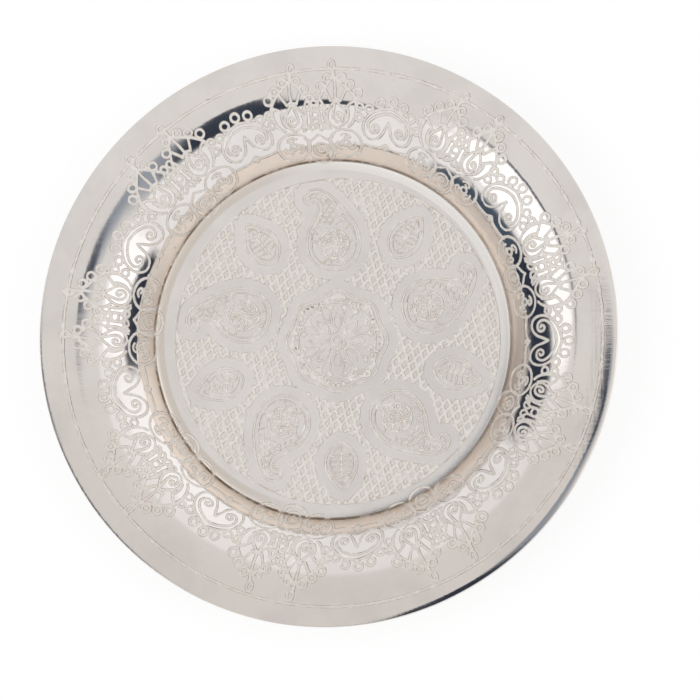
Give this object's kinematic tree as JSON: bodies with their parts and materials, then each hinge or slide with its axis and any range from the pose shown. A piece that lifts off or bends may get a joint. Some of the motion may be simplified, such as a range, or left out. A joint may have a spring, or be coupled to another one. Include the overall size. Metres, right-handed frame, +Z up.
{
  "type": "trinket dish",
  "caption": "Round silver-plated trinket dish with a flat rim, wired rolled edge, sloping wall, raised etched floor and stick-on bumper feet.",
  "frame": {"origin": "centre of the dish on the surface that it stands on", "axes": "+Z up along the axis of the round dish, +X to the right and +Y away in a view from above"},
  "size_m": [0.15, 0.15, 0.0133],
  "materials": {
    "silver_plate": "polished silver plate with fine scratches, etched ornament in matte cream",
    "wire": "drawn wire, dull",
    "clear_bumper": "clear soft plastic"
  },
  "bodies": {
    "root": {"dish_body": "silver_plate", "rim_wire": "wire", "foot_pad_1": "clear_bumper", "foot_pad_2": "clear_bumper", "foot_pad_3": "clear_bumper", "foot_pad_4": "clear_bumper"}
  },
  "joints": []
}
